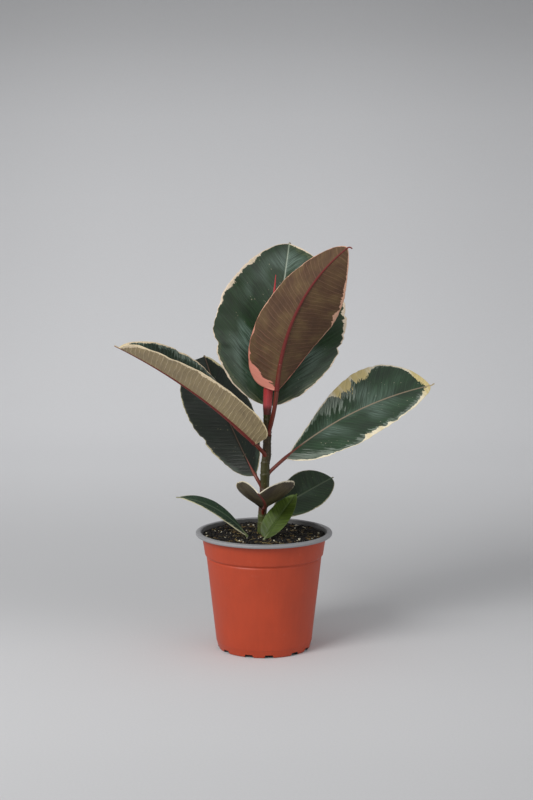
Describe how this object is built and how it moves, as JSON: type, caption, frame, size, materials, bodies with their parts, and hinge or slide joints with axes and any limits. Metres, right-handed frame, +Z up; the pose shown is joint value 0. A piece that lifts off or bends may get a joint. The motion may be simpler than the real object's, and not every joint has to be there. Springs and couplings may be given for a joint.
{
  "type": "potted rubber plant",
  "caption": "Young variegated rubber plant with broad cream-edged leaves, growing upright in a thin round nursery pot; an indoor plant that stands free.",
  "frame": {"origin": "centre of the pot's base, on the floor", "axes": "+Z up along the pot's axis; -Y is the front, where the uppermost bud stands behind the tallest front leaf; +X to the right seen from the front"},
  "size_m": [0.2802, 0.18, 0.359],
  "materials": {
    "pot_plastic": "thin thermoformed terracotta-coloured plastic, satin, grey on its inner side and rolled lip",
    "potting_mix": "loose dark peat and bark mix with white perlite grains and pale fibres",
    "stem_bark": "young green-brown bark with raised leaf-scar rings, satin",
    "bud_sheath": "smooth rolled red sheath, satin",
    "leaf": "thick leaf, glossy dark green above with cream margins, dull brown-green below with a red-brown midrib"
  },
  "bodies": {
    "root": {"pot": "pot_plastic", "potting_mix": "potting_mix", "stem": "stem_bark", "bud_sheath": "bud_sheath", "leaf_top_back": "leaf", "leaf_top_front": "leaf", "leaf_mid_left": "leaf", "leaf_low_left": "leaf", "leaf_mid_right": "leaf", "leaf_low_right": "leaf", "leaf_low_front": "leaf", "leaf_basal_left": "leaf", "leaf_basal_front": "leaf"}
  },
  "joints": []
}
